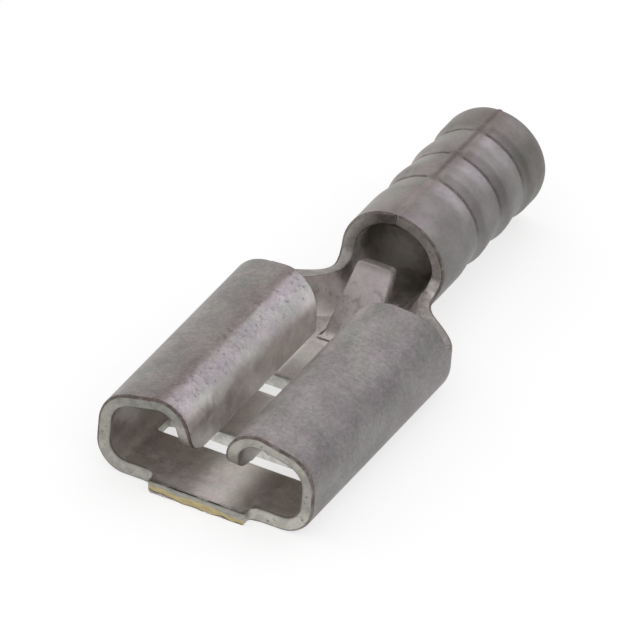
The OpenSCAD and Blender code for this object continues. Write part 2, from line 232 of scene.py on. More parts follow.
class Strip:
    """Where each point of the flat strip lands once it is folded, in millimetres."""

    # How the neck's walls come together and fall towards the waist: higher is later
    CLOSING, FALLING = 1.45, 3
    # Runs over which the shared line swings to the neck's root and away from the mouth
    ROOT_SWING, MOUTH_SWING = 0.8, 0.6
    # Rows lie about a pitch apart along the barrel, and are closer this far either side
    # of a groove and over the barrel's end
    ROW_PITCH, CREASE_REACH, END_REACH = 0.13, 0.12, 0.3

    def __init__(self, sizes):
        for name in sizes.bl_rna.properties.keys():
            prop = sizes.bl_rna.properties[name]
            if prop.type in {"FLOAT", "INT"}:
                value = getattr(sizes, name)
                setattr(self, name, value / MM if prop.unit == "LENGTH" else value)
        self.rolls_y = self.stub_l
        self.neck_y = self.rolls_y + self.rolls
        self.barrel_y = self.neck_y + self.neck
        self.total = self.barrel_y + self.barrel_l
        self.root_y = self.neck_y + self.tongue_y
        self.score_y = self.root_y - self.score_gap
        self.barrel_r = self.barrel_d / 2
        self.roll_path = self._roll_path()
        self.roll_edge = path_length(self.roll_path)
        # The shared lines between the lower and upper parts of the rolls and the barrel
        # meet the rounded corners halfway round them
        self.flank = self.width / 2 - self.base_r + self.base_r * math.pi / 2 \
            + self.shoulder_z - self.base_r \
            + self.shoulder_r * math.asin((self.neck_root_h - self.shoulder_z) / self.shoulder_r)
        self.root_end = self.neck_y + self.root_corner_r
        self.root_half = self.root_end - self.root_corner_r * HALF
        self.mouth_half = self.barrel_y - self.mouth_r * (1 - HALF)
        self.mouth_run = self.barrel_r * math.acos(
            1 - (self.neck_waist_h + self.mouth_r) / self.barrel_r)
        self.seam_run = self.barrel_r * math.pi - self.seam_gap / 2

    def groove_centres(self):
        first = self.barrel_y + self.groove_y
        return [first + k * self.groove_pitch for k in range(self.grooves)]

    def _roll_path(self):
        """The section of a roll: floor, base fold, side wall, shoulder, crest, curl, lip."""
        shoulder = Vector((self.width / 2 - self.shoulder_r, self.shoulder_z))
        curl = Vector((self.curl_gap / 2 + self.curl_r, self.height - self.curl_r))
        span = curl - shoulder
        drop = self.shoulder_r - self.curl_r
        crest = math.atan2(span.y, span.x) - math.acos(drop / span.length)
        lip_a = math.pi - self.lip_lean
        top = curl.y + self.curl_r * math.sin(lip_a)
        end = self.sheet + self.blade_gap + self.sheet * math.sin(self.lip_lean)
        return [
            (self.width / 2 - self.base_r, 0),
            (self.base_r, math.pi / 2),
            (self.shoulder_z - self.base_r, 0),
            (self.shoulder_r, crest),
            (math.sqrt(span.length ** 2 - drop ** 2), 0),
            (self.curl_r, lip_a - crest),
            ((top - end) / math.cos(self.lip_lean), 0),
        ]

    def eased(self, u):
        """How far the section has gone from the rolls' to the barrel's, by share of the
        neck's length."""
        left = 1 - max(0.0, u * self.neck - self.side_run) / (self.neck - self.side_run)
        return (1 - math.cos(math.pi * (1 - max(0.0, left) ** self.CLOSING))) / 2

    def edge_h(self, u):
        """Height of the neck's wall."""
        return mix(self.neck_root_h, self.neck_waist_h, self.eased(u) ** self.FALLING) \
            + corner(self.mouth_r, (1 - u) * self.neck)

    def neck_path(self, u):
        """The section of the neck, a box with round corners that closes to a circle."""
        k = self.eased(u)
        r = mix(self.base_r, self.barrel_r, k)
        flat = mix(self.width / 2, self.barrel_r, k) - r
        h = self.edge_h(u)
        if h > r and u * self.neck < self.neck - self.mouth_r:
            return [(flat, 0), (r, math.pi / 2), (self.shoulder_z - r, 0),
                    (self.shoulder_r, math.pi / 2)]
        return [(flat, 0), (r, math.pi)]

    def section(self, y):
        if y <= self.neck_y:
            return self.roll_path
        if y < self.barrel_y:
            return self.neck_path((y - self.neck_y) / self.neck)
        return [(self.barrel_r, math.pi)]

    def edge(self, y):
        """Run of sheet from the middle of the floor to the edge of the lower part."""
        if y < self.root_end:
            rise = corner(self.root_corner_r, max(y, self.root_half) - self.neck_y)
            return self.flank + rise * ease(y, self.root_half - self.ROOT_SWING, self.root_half)
        if y > self.mouth_half:
            k = ease(y, self.mouth_half, self.mouth_half + self.MOUTH_SWING)
            return mix(self.edge(self.mouth_half), self.mouth_run, k)
        u = (y - self.neck_y) / self.neck
        return self.run_at(u, self.edge_h(u))

    def run_at(self, u, h):
        """Run of sheet to a height of the neck's wall."""
        path = self.neck_path(u)
        if len(path) == 2:
            r = path[1][0]
            return path[0][0] + r * math.acos(1 - h / r)
        flat, r = path[0][0], path[1][0]
        run = flat + r * math.pi / 2 + min(h, self.shoulder_z) - r
        if h > self.shoulder_z:
            run += self.shoulder_r * math.asin((h - self.shoulder_z) / self.shoulder_r)
        return run

    def point(self, run, y):
        x, z, _ = fold(self.section(y), run)
        return Vector((x, y, z))


def spread(*stretches):
    """Stations along a line: (end, steps) after the first value."""
    stations = [stretches[0]]
    for end, steps in stretches[1:]:
        start = stations[-1]
        stations += [mix(start, end, k / steps) for k in range(1, steps + 1)]
    return stations


def arc(centre, radius, start, end, steps):
    """Points after the first along a round corner, by angle in eighths of a turn."""
    points = []
    for k in range(1, steps + 1):
        turn = mix(start, end, k / steps) * math.pi / 4
        points.append((centre[0] + radius * math.cos(turn), centre[1] + radius * math.sin(turn)))
    return points


def straight(start, end, steps):
    """Points after the first along a straight edge."""
    return [(mix(start[0], end[0], k / steps), mix(start[1], end[1], k / steps))
            for k in range(1, steps + 1)]


# ---------------------------------------------------------------- modelling helpers

def deselect():
    if bpy.context.object and bpy.context.object.mode != "OBJECT":
        bpy.ops.object.mode_set(mode="OBJECT")
    bpy.ops.object.select_all(action="DESELECT")


def make_active(piece):
    deselect()
    piece.select_set(True)
    bpy.context.view_layer.objects.active = piece


def lay_blank(name, lines, stations, place):
    """Adds a flat grid with a line of vertices for each line and station, and sets each
    vertex where place(line, station) says it lands."""
    deselect()
    across, along = len(lines) - 1, len(stations) - 1
    bpy.ops.mesh.primitive_grid_add(x_subdivisions=across, y_subdivisions=along, size=2)
    blank = bpy.context.object
    blank.name = name
    for vertex in blank.data.vertices:
        i = round((vertex.co.x + 1) / 2 * across)
        j = round((vertex.co.y + 1) / 2 * along)
        vertex.co = place(lines[i], stations[j]) * MM
    return blank


def lay_patch(name, strip, front, rear, inner, outer):
    """Lays a blank between four outlines, each a list of (run, y), and folds it. Front and
    rear run from the inner outline to the outer one."""
    across, along = len(front) - 1, len(inner) - 1

    def place(i, j):
        c, k = i / across, j / along
        spots = []
        for axis in (0, 1):
            spots.append(
                mix(front[i][axis], rear[i][axis], k) + mix(inner[j][axis], outer[j][axis], c)
                - mix(mix(front[0][axis], front[-1][axis], c),
                      mix(rear[0][axis], rear[-1][axis], c), k))
        return strip.point(*spots)

    return lay_blank(name, range(across + 1), range(along + 1), place)


def edit(piece, kind, action="DESELECT"):
    make_active(piece)
    bpy.ops.object.mode_set(mode="EDIT")
    bpy.ops.mesh.select_mode(type=kind)
    bpy.ops.mesh.select_all(action=action)


def pick(parts, test):
    """Selects the faces or edges that pass a test, and goes back to edit mode."""
    bpy.ops.object.mode_set(mode="OBJECT")
    for part in parts:
        part.select = test(part)
    bpy.ops.object.mode_set(mode="EDIT")


def apply_modifier(piece, kind, **settings):
    make_active(piece)
    modifier = piece.modifiers.new(kind.title(), kind)
    for key, value in settings.items():
        setattr(modifier, key, value)
    bpy.ops.object.modifier_apply(modifier=modifier.name)


class TERMINAL_OT_fold(bpy.types.Operator):
    """Blanks, folds and rolls the terminal from one strip"""

    bl_idname = "terminal.fold"
    bl_label = "Fold Terminal"

    # Steps from the middle out to the lines along the strip: the tongue's side, the
    # stub's side, the slots' ends and the edge
    LINES = (6, 9, 7, 16)
    # Steps along the front edges of the roll and of the barrel, from the shared line
    ROLL_FRONT, WRAP_FRONT = 44, 26
    # Steps along half of each round corner: a lip's front, a lip's rear or the neck's
    # root, and the neck's rise to the mouth
    LIP_CORNER, REAR_CORNER, MOUTH_CORNER = 7, 3, 4
    # Steps of the barrel's rows up to the mouth, and round the seam's corner
    TO_MOUTH, SEAM_CORNER = 2, 3
    # Share of the barrel's radius where the stub's line runs along its bottom
    STUB_LINE = 0.6

    def execute(self, context):
        strip = Strip(context.scene.terminal_sizes)
        lower = self.lay_lower(strip)
        rolls = self.lay_rolls(strip)
        wrap = self.lay_wrap(strip)
        stub = self.lay_stub(strip)
        tongue = self.lay_tongue(strip)
        make_active(lower)
        for part in (rolls, wrap, stub, tongue):
            part.select_set(True)
        bpy.ops.object.join()
        piece = context.object
        piece.name = piece.data.name = "terminal_strip"
        self.join_halves(piece)
        self.give_thickness(piece, strip)
        self.press_grooves(piece, strip)
        self.settle(piece, strip)
        self.round_edges(piece, strip)
        # Centre the strip, and keep roundings and noise within the solid's own box
        low, high = (Vector(c) for c in CAD_BOX)
        for vertex in piece.data.vertices:
            vertex.co.y -= strip.total / 2 * MM
            vertex.co = [max(a, min(b, v)) for a, v, b in zip(low, vertex.co, high)]
        make_active(piece)
        bpy.ops.object.shade_smooth_by_angle(angle=math.radians(40))
        apply_modifier(piece, "WEIGHTED_NORMAL", keep_sharp=True)
        self.inspect(piece)
        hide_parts(NODE)
        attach(piece, "root")
        return {"FINISHED"}

    def seams(self, strip, y):
        """Runs of sheet to the lines along the strip, at a station."""
        window_y = strip.root_y + strip.tongue_l
        w = max(0.0, min(1.0, (y - strip.root_y) / (window_y - strip.root_y)))
        k = max(0.0, min(1.0, (y - strip.neck_y) / strip.neck))
        slot_end = strip.slot_w / 2
        for start, end in self.slots(strip):
            if start - TINY < y < end + TINY:
                slot_end -= corner(strip.slot_r, min(y - start, end - y))
        return [
            mix(strip.tongue_root_w, strip.tongue_tip_w, w) / 2,
            mix(strip.stub_w / 2 + strip.stub_root_r, strip.barrel_r * self.STUB_LINE, k),
            mix(slot_end, strip.barrel_r, k),
            strip.edge(y),
        ]

    def run_to(self, line, runs):
        """Run of sheet to a line that lies between two of the seams."""
        band = min(int(line), len(runs) - 2)
        return mix(runs[band], runs[band + 1], line - band)

    def slots(self, strip):
        first = strip.rolls_y + strip.slot_front_y
        second = first + strip.slot_front_l + strip.bridge
        return (first, first + strip.slot_front_l), (second, second + strip.slot_rear_l)

    def roll_rows(self, strip):
        """Stations along the rolls, with the slots' ends and corners among them."""
        rows = [strip.rolls_y]
        r = strip.slot_r
        for (start, end), steps in zip(self.slots(strip), (12, 14)):
            rows += spread(rows[-1], (start, steps))[1:]
            rows += spread(start, (start + r * (1 - HALF), 1), (start + r, 1), (end - r, 4),
                           (end - r * (1 - HALF), 1), (end, 1))[1:]
        return rows + spread(rows[-1], (strip.neck_y - 0.2, 11), (strip.root_half, 2))[1:]

    def barrel_rows(self, strip):
        """Stations along the barrel, closer together at the grooves."""
        rows = spread(strip.mouth_half, (strip.barrel_y, self.TO_MOUTH),
                      (strip.barrel_y + strip.seam_corner_r, self.SEAM_CORNER))
        for centre in strip.groove_centres():
            start, end = centre - strip.CREASE_REACH, centre + strip.CREASE_REACH
            steps = max(4, round((start - rows[-1]) / strip.ROW_PITCH))
            rows += spread(rows[-1], (start, steps), (end, 8),
                           (centre + strip.groove_rise, 5))[1:]
        return rows + spread(rows[-1], (strip.total - strip.END_REACH, 4), (strip.total, 3))[1:]

    def lay_lower(self, strip):
        """The floor, the walls up to where the rolls and the neck's corners start, and
        the lower part of the barrel."""
        rise = strip.barrel_y - strip.mouth_r
        rows = self.roll_rows(strip)
        turns = [math.pi / 4 * k / self.REAR_CORNER for k in range(self.REAR_CORNER)]
        rows += sorted([strip.root_end - strip.root_corner_r * math.sin(turn) for turn in turns]
                       + [strip.score_y])
        rows += spread(rows[-1], (strip.root_y, 1), (rise, 24))[1:]
        turns = [math.pi / 4 * k / self.MOUTH_CORNER for k in range(1, self.MOUTH_CORNER)]
        rows += [rise + strip.mouth_r * math.sin(turn) for turn in turns]
        self.window_end = rows[-1]
        rows += self.barrel_rows(strip)
        lines = spread(0.0, *((band + 1.0, steps) for band, steps in enumerate(self.LINES)))

        def place(line, y):
            return strip.point(self.run_to(line, [0.0] + self.seams(strip, y)), y)

        def punched(polygon):
            """In a floor slot, or in the window that the tongue is lanced from."""
            c = polygon.center / MM
            reach = self.seams(strip, c.y)
            slot = any(start < c.y < end for start, end in self.slots(strip))
            window = strip.root_y < c.y < self.window_end
            return c.z < strip.sheet - SLACK and ((slot and abs(c.x) < reach[2]) or
                                                  (window and abs(c.x) < reach[0]))

        lower = lay_blank("lower", lines, rows, place)
        edit(lower, "FACE")
        pick(lower.data.polygons, punched)
        bpy.ops.mesh.delete(type="FACE")
        bpy.ops.object.mode_set(mode="OBJECT")
        return lower

    def lay_rolls(self, strip):
        """The upper part of a roll, from the shared line to the lip."""
        end, front_y = strip.roll_edge, strip.rolls_y
        inner = [(strip.edge(y), y) for y in self.roll_rows(strip)]

        def rear_y(run):
            x, _, _ = fold(strip.roll_path, run)
            past = max(0.0, strip.width / 2 - strip.shoulder_r - x)
            return strip.neck_y - past * math.tan(strip.rear_slant)

        r = strip.lip_front_r
        bend = (end - r, front_y + r)
        front = [inner[0]] + straight(inner[0], (end - r, front_y), self.ROLL_FRONT)
        front += arc(bend, r, -2, -1, self.LIP_CORNER)
        outer = [front[-1]] + arc(bend, r, -1, 0, self.LIP_CORNER)
        r = strip.lip_rear_r
        bend = (end - r, rear_y(end) - r)
        steps = len(inner) - 1 - self.LIP_CORNER - self.REAR_CORNER
        outer += straight(outer[-1], (end, bend[1]), steps)
        outer += arc(bend, r, 0, 1, self.REAR_CORNER)
        start = strip.flank + strip.root_corner_r
        rear = [inner[-1]]
        rear += arc((start, strip.root_end), strip.root_corner_r, -3, -2, self.REAR_CORNER)
        steps = len(front) - 1 - 2 * self.REAR_CORNER
        rear += [(run, rear_y(run)) for run, _ in straight((start, 0), (bend[0], 0), steps)]
        rear += arc(bend, r, 2, 1, self.REAR_CORNER)
        return lay_patch("rolls", strip, front, rear, inner, outer)

    def lay_wrap(self, strip):
        """The upper part of the barrel, from the shared line to the seam."""
        end, r = strip.seam_run, strip.seam_corner_r
        rows = self.barrel_rows(strip)
        inner = [(strip.edge(y), y) for y in rows]
        front = [inner[0]]
        for k in range(1, self.MOUTH_CORNER + 1):
            turn = math.pi / 4 * (1 + k / self.MOUTH_CORNER)
            y = strip.barrel_y - strip.mouth_r * (1 - math.sin(turn))
            h = strip.neck_waist_h + strip.mouth_r * (1 - math.cos(turn))
            front.append((strip.run_at((y - strip.neck_y) / strip.neck, h), y))
        bend = (end - r, strip.barrel_y + r)
        front += straight(front[-1], (end - r, strip.barrel_y), self.WRAP_FRONT)
        front += arc(bend, r, -2, -1, self.SEAM_CORNER)
        corner_rows = self.TO_MOUTH + self.SEAM_CORNER
        outer = [front[-1]] + arc(bend, r, -1, 0, corner_rows)
        outer += [(end, y) for y in rows[corner_rows + 1:]]
        rear = [inner[-1]] + straight(inner[-1], outer[-1], len(front) - 1)
        return lay_patch("wrap", strip, front, rear, inner, outer)

    def lay_stub(self, strip):
        """The stub of the carrier strip, in front of the floor."""
        lines = spread(0.0, *((band + 1.0, steps) for band, steps in enumerate(self.LINES[:2])))
        runs = [0.0] + self.seams(strip, strip.rolls_y)[:2]
        r, front = strip.stub_root_r, strip.stub_corner_r

        def place(line, y):
            half = strip.stub_w / 2 + corner(r, strip.rolls_y - y) - corner(front, y)
            return Vector((self.run_to(line, runs) * half / runs[-1], y, 0))

        stations = spread(0.0, (front, 2), (strip.rolls_y - r, 2))
        stations += [strip.rolls_y - r * (1 - math.sin(math.pi / 2 * k / 4))
                     for k in range(1, 5)]
        return lay_blank("stub", lines, stations, place)

    def lay_tongue(self, strip):
        """The lanced tongue, bent up at its root and again towards its tip. It is a
        little narrower than its window."""
        root_r, tip_r, tip_corner = 0.2, 0.8, 0.16
        lance, lance_run = 0.03, 0.1
        bend = (root_r + strip.sheet / 2) * strip.tongue_rise
        turn = (tip_r + strip.sheet / 2) * strip.tip_turn
        path = [(root_r + strip.sheet, strip.tongue_rise),
                (strip.tongue_l - bend - turn, 0),
                (tip_r + strip.sheet, strip.tip_turn)]
        total = path_length(path)
        lines = [k / self.LINES[0] for k in range(self.LINES[0] + 1)]
        stations = spread(0.0, (tip_corner, 4), (total - 0.4, 12), (total, 6))

        def place(line, run):
            half = mix(strip.tongue_root_w, strip.tongue_tip_w, run / total) / 2
            half -= lance * min(1.0, run / lance_run)
            half -= corner(tip_corner, total - run)
            y, z, _ = fold(path, run)
            return Vector((half * line, strip.root_y + y, z))

        return lay_blank("tongue", lines, stations, place)

    def join_halves(self, piece):
        """Welds the right half and mirrors it, with every face turned outwards, which is
        down for the floor."""
        edit(piece, "VERT", "SELECT")
        bpy.ops.mesh.remove_doubles(threshold=WELD * MM)
        bpy.ops.object.mode_set(mode="OBJECT")
        apply_modifier(piece, "MIRROR", use_clip=True, merge_threshold=WELD * MM)
        edit(piece, "FACE", "SELECT")
        bpy.ops.mesh.normals_make_consistent(inside=False)
        bpy.ops.object.mode_set(mode="OBJECT")
        floor = min(piece.data.polygons, key=lambda polygon: abs(polygon.center.z))
        if floor.normal.z > 0:
            edit(piece, "FACE", "SELECT")
            bpy.ops.mesh.flip_normals()
            bpy.ops.object.mode_set(mode="OBJECT")

    def give_thickness(self, piece, strip):
        """Thickens the skin inwards, and gives the faces their finishes."""
        piece.data.materials.clear()
        for finish in (make_outside, make_sheared, make_bare, make_inside, make_arris):
            piece.data.materials.append(finish(bpy.context.scene.terminal_finish))
        apply_modifier(
            piece, "SOLIDIFY", thickness=strip.sheet * MM, offset=-1, use_even_offset=True,
            use_quality_normals=True, use_rim=True, material_offset=INSIDE,
            material_offset_rim=SHEARED)
        for polygon in piece.data.polygons:
            if polygon.material_index == SHEARED and polygon.normal.y < -0.6 \
                    and polygon.center.y < strip.stub_corner_r * MM:
                polygon.material_index = BARE
        self.thin_crests(piece, strip)

    def thin_crests(self, piece, strip):
        """Draws the sheet thinner over the crests, from its inner side."""
        inside = {}
        for polygon in piece.data.polygons:
            if polygon.material_index == INSIDE:
                for index in polygon.vertices:
                    inside.setdefault(index, []).append(polygon.normal.copy())
        for index, normals in inside.items():
            vertex = piece.data.vertices[index]
            normal = sum(normals, Vector()).normalized()
            if vertex.co.y < strip.neck_y * MM and vertex.co.z > strip.shoulder_r * MM:
                vertex.co += normal * min(0.0, normal.z) * strip.crest_thin * MM

    def press_grooves(self, piece, strip):
        """Presses the grooves into the outside of the barrel: each land rises soon after a
        groove, then falls slowly to the next one, and a crease marks its bottom. The
        barrel's end is drawn in a little."""
        for vertex in piece.data.vertices:
            p = vertex.co / MM
            out = Vector((p.x, 0, p.z - strip.barrel_r))
            if p.y < strip.barrel_y - WELD or out.length < strip.barrel_r - SLACK:
                continue
            degrees = abs(math.degrees(math.atan2(out.x, out.z)))
            wave = crease = 0.0
            for centre in strip.groove_centres():
                past = p.y - centre
                run = strip.groove_rise if past > 0 else strip.land_fall
                wave = max(wave, 1 - ease(abs(past), 0, run))
                crease = max(crease, 1 - abs(past) / strip.crease_w)
            # Both start beside the seam, and the crease fades down the flanks
            wave *= ease(degrees, 3, 9) * mix(0.6, 1.0, ease(degrees, 6, 36))
            crease *= ease(degrees, 5, 9) * (1 - 0.8 * ease(degrees, 70, 95))
            chamfer = ease(p.y, strip.total - strip.END_REACH, strip.total)
            vertex.co -= out.normalized() * MM * (
                strip.groove_d * wave + strip.crease_d * crease + strip.chamfer * chamfer)

    def settle(self, piece, strip):
        """Small departures that the tooling leaves: one roll stands a little higher, the
        tongue's root is scored, and the stub is torn off."""
        foot, crest, fade = strip.shoulder_r, 2.6, 0.5
        lifts = {True: 0.05, False: -0.04}
        for vertex in piece.data.vertices:
            p = vertex.co / MM
            if p.y < strip.neck_y + fade and p.z > foot:
                lift = ease(p.z, foot, crest) * (1 - ease(p.y, strip.neck_y, strip.neck_y + fade))
                vertex.co.z += lifts[p.x < 0] * lift * MM
            on_score = abs(p.y - strip.score_y) < 0.01 and abs(p.x) < strip.tongue_root_w / 2
            if on_score and abs(p.z - strip.sheet) < SLACK:
                vertex.co.z -= strip.score_d * MM
            # The stub's face wavers, and its lower edge is torn up, most on the left
            if p.y < 0.03 and p.z < 0.1:
                torn = noise.noise(Vector((p.x * 2.3, 0.4, 0.7)))
                vertex.co.y += 0.05 * (torn + 0.5) * MM
                vertex.co.z += (0.06 * max(0.0, torn + 0.2) + 0.12 * ease(-p.x, 1.4, 1.65)) * MM

    def round_edges(self, piece, strip):
        """Rounds the arrises: widely outside, finely round the slots, the tongue and the
        window, hardly at the seam, and with a lead-in inside the openings' edges."""
        def fine(p):
            slot = p.y > 1 and abs(p.x) < strip.slot_w / 2 + SLACK and p.y < strip.neck_y
            tongue = abs(p.x) < strip.tongue_root_w / 2 + SLACK and \
                strip.neck_y < p.y < strip.barrel_y
            return (slot and p.z < strip.sheet + SLACK) or (tongue and p.z < 2.6)

        def seam(p):
            return abs(p.x) < 0.1 and p.z > strip.barrel_d - 0.3

        def opening(p):
            """The rolls' front edge and the lips' front corners, without the floor."""
            on_front = strip.rolls_y - 0.01 < p.y < strip.rolls_y + strip.lip_front_r + SLACK
            return on_front and not (p.y > strip.rolls_y + 0.01 and p.z < 1)

        def eased(p):
            stub = p.y < 0.01
            mouth = p.z > 1.2 and strip.barrel_y - strip.mouth_r < p.y < strip.barrel_y + 0.1
            return opening(p) or stub or mouth

        for offset, skin, material, segments, test in (
                (strip.arris, OUTSIDE, ARRIS, 3, lambda p: not fine(p) and not seam(p)),
                (strip.fine_arris / 3, OUTSIDE, OUTSIDE, 1, seam),
                (strip.fine_arris, OUTSIDE, SHEARED, 2, fine),
                (strip.lead_in, INSIDE, SHEARED, 3, eased),
                (strip.fine_arris, INSIDE, SHEARED, 2, lambda p: not eased(p))):
            self.bevel(piece, offset, skin, material, segments, test)

    def inspect(self, piece):
        """Stops if the strip isn't one closed solid with its faces outwards."""
        mesh = piece.data
        mesh.calc_loop_triangles()
        sides = {}
        for polygon in mesh.polygons:
            for key in polygon.edge_keys:
                sides[key] = sides.get(key, 0) + 1
        torn = sum(count != 2 for count in sides.values())
        points = [[mesh.vertices[i].co for i in t.vertices] for t in mesh.loop_triangles]
        volume = sum(a.dot(b.cross(c)) for a, b, c in points) / 6
        print(f"terminal: {len(points)} triangles, {torn} open edges, "
              f"{volume / MM ** 3:.1f} mm3")
        if torn or volume <= 0 or len(points) > MOST_TRIANGLES:
            raise RuntimeError("The terminal isn't one closed solid with its faces outwards")

    def bevel(self, piece, offset, skin, material, segments, test):
        """Bevels the edges between a skin and the sheared edges whose middle passes a
        test, in millimetres."""
        mesh = piece.data
        sides = {}
        for polygon in mesh.polygons:
            for key in polygon.edge_keys:
                sides.setdefault(key, set()).add(polygon.material_index)

        def chosen(e):
            start, end = (mesh.vertices[index].co for index in e.vertices)
            kinds = sides[e.key]
            return skin in kinds and bool(kinds & {SHEARED, BARE}) and test((start + end) / 2 / MM)

        edit(piece, "EDGE")
        pick(mesh.edges, chosen)
        bpy.ops.mesh.bevel(
            offset=offset * MM, offset_type="OFFSET", segments=segments, profile=0.5,
            affect="EDGES", clamp_overlap=False, material=material)
        bpy.ops.object.mode_set(mode="OBJECT")


# ---------------------------------------------------------------- finishes

class Tree:
    """The node tree of a material or of the surroundings, built by short calls."""

    def __init__(self, owner):
        owner.use_nodes = True
        self.tree = owner.node_tree
        self.tree.nodes.clear()

    def add(self, kind, **settings):
        node = self.tree.nodes.new(kind)
        for key, value in settings.items():
            setattr(node, key, value)
        return node

    def link(self, source, target):
        self.tree.links.new(source, target)

    def feed(self, socket, value):
        if isinstance(value, bpy.types.NodeSocket):
            self.link(value, socket)
        elif value is not None:
            socket.default_value = value

    def math(self, operation, a, b=None):
        node = self.add("ShaderNodeMath", operation=operation)
        self.feed(node.inputs[0], a)
        self.feed(node.inputs[1], b)
        return node.outputs["Value"]

    def both(self, *factors):
        """One where every factor is one, and none where any is none."""
        result = factors[0]
        for factor in factors[1:]:
            result = self.math("MULTIPLY", result, factor)
        return result

    def most(self, *factors):
        """The greatest of the factors."""
        result = factors[0]
        for factor in factors[1:]:
            result = self.math("MAXIMUM", result, factor)
        return result

    def ramp(self, value, start, end, low=0.0, high=1.0, shape="SMOOTHSTEP"):
        """Goes from low at the start to high at the end, which may be the lower value."""
        if start > end:
            start, end, low, high = end, start, high, low
        node = self.add("ShaderNodeMapRange", clamp=True, interpolation_type=shape)
        for name, number in (("From Min", start), ("From Max", end),
                             ("To Min", low), ("To Max", high)):
            node.inputs[name].default_value = number
        self.link(value, node.inputs["Value"])
        return node.outputs["Result"]

    def seen_directly(self):
        """One for camera, glossy and transmission rays."""
        rays = self.add("ShaderNodeLightPath").outputs
        return self.most(*(rays[f"Is {kind} Ray"] for kind in ("Camera", "Glossy", "Transmission")))

    def surface(self, output, shader):
        self.link(shader.outputs[0], self.add(output).inputs["Surface"])


class Metal(Tree):
    """A metal, with its patterns laid out in millimetres by x, y, z, the distance to
    either side, and what a finish adds. Places along the strip are measured from a mark:
    the stub's end, the rolls' front or rear edge, the score at the tongue's root, the
    barrel's mouth or its first groove."""

    def __init__(self, name):
        self.material = bpy.data.materials.new(name)
        super().__init__(self.material)
        place = self.add("ShaderNodeTexCoord").outputs["Object"]
        self.place = self.vector("MULTIPLY", place, (1 / MM,) * 3)
        split = self.add("ShaderNodeSeparateXYZ")
        self.link(self.place, split.inputs["Vector"])
        self.x, self.y, self.z = split.outputs
        self.side = self.math("ABSOLUTE", self.x)
        strip = Strip(bpy.context.scene.terminal_sizes)
        places = {"stub": 0.0, "front": strip.rolls_y, "rear": strip.neck_y,
                  "score": strip.score_y, "mouth": strip.barrel_y,
                  "groove": strip.barrel_y + strip.groove_y}
        self.marks = {mark: y - strip.total / 2 for mark, y in places.items()}

    def vector(self, operation, a, b):
        node = self.add("ShaderNodeVectorMath", operation=operation)
        self.feed(node.inputs[0], a)
        self.feed(node.inputs["Scale" if operation == "SCALE" else 1], b)
        return node.outputs["Vector"]

    def noise(self, scale, detail=3.0, roughness=0.5, stretch=(1, 1, 1)):
        node = self.add("ShaderNodeTexNoise")
        node.inputs["Scale"].default_value = scale
        node.inputs["Detail"].default_value = detail
        node.inputs["Roughness"].default_value = roughness
        place = self.place if stretch == (1, 1, 1) else \
            self.vector("MULTIPLY", self.place, stretch)
        self.link(place, node.inputs["Vector"])
        return node.outputs["Fac"]

    def part(self, factor, share):
        return self.math("MULTIPLY", factor, share)

    def sway(self, noise, width):
        """A noise about nought, of a width in millimetres."""
        return self.part(self.math("SUBTRACT", noise, 0.5), width)

    def region(self, *factors, **spans):
        """One inside a block of places and none outside it. The span along each axis is
        (none, full), or (none, full, full, none) where it has a far side."""
        for axis, span in spans.items():
            value = self.y if axis in self.marks else getattr(self, axis)
            places = [self.marks.get(axis, 0.0) + place for place in span]
            factors += (self.ramp(value, *places[:2]),)
            if len(places) == 4:
                factors += (self.ramp(value, places[3], places[2]),)
        return self.both(*factors)

    def blend(self, factor, a, b):
        node = self.add("ShaderNodeMix", data_type="RGBA")
        self.feed(node.inputs["Factor"], factor)
        for socket, value in ((node.inputs[6], a), (node.inputs[7], b)):
            self.feed(socket, value if isinstance(value, bpy.types.NodeSocket)
                      else (*value, 1))
        return node.outputs[2]

    def scale(self, tone, factor):
        return self.vector("SCALE", tone, factor)

    def shade(self, tone, region, times):
        """Makes the tone so many times as bright where the region is one."""
        return self.scale(tone, self.ramp(region, 0, 1, 1.0, times))

    def tint(self, tone, region, times):
        """Does the same with a factor for each channel."""
        return self.blend(region, tone, self.vector("MULTIPLY", tone, times))

    def stain(self, tone, region, strength, dirt=WARM_DIRT):
        return self.blend(self.part(region, strength), tone, dirt)

    def tones(self, value, stops):
        """A colour ramp with stops in millimetres."""
        low, high = stops[0][0], stops[-1][0]
        node = self.add("ShaderNodeValToRGB")
        self.link(self.ramp(value, low, high, shape="LINEAR"), node.inputs["Fac"])
        elements = node.color_ramp.elements
        while len(elements) > 1:
            elements.remove(elements[-1])
        elements[0].position, elements[0].color = 0.0, (*stops[0][1], 1)
        for at, tone in stops[1:]:
            elements.new((at - low) / (high - low)).color = (*tone, 1)
        return node.outputs["Color"]

    def mottled(self, tone, strength, calm=None):
        """Clouds, mottling and grain, as matte tin plate has them. The grain fades where
        calm is one."""
        cloud = self.noise(0.8, 3, 0.55)
        patch = self.noise(2.6, 3, 0.6)
        grain = self.noise(8.5, 3, 0.65)
        for field, swing, fine in ((cloud, 0.11, 0), (patch, 0.12, 0.2), (grain, 0.12, 0.6)):
            swing = self.ramp(field, 0.3, 0.7, -swing * strength, swing * strength)
            if calm is not None:
                swing = self.both(swing, self.ramp(calm, 0, 1, 1.0, 1 - fine))
            tone = self.scale(tone, self.math("ADD", swing, 1.0))
        warm = self.ramp(self.noise(1.4, 3, 0.6, (1, 0.6, 1)), 0.36, 0.64)
        return self.blend(warm, self.vector("MULTIPLY", tone, (1.022, 0.985, 1.015)),
                          self.vector("MULTIPLY", tone, (0.983, 1.01, 0.983)))

    def bump(self, height, distance, strength=1.0, normal=None):
        node = self.add("ShaderNodeBump")
        node.inputs["Strength"].default_value = strength
        node.inputs["Distance"].default_value = distance * MM
        self.link(height, node.inputs["Height"])
        self.feed(node.inputs["Normal"], normal)
        return node.outputs["Normal"]

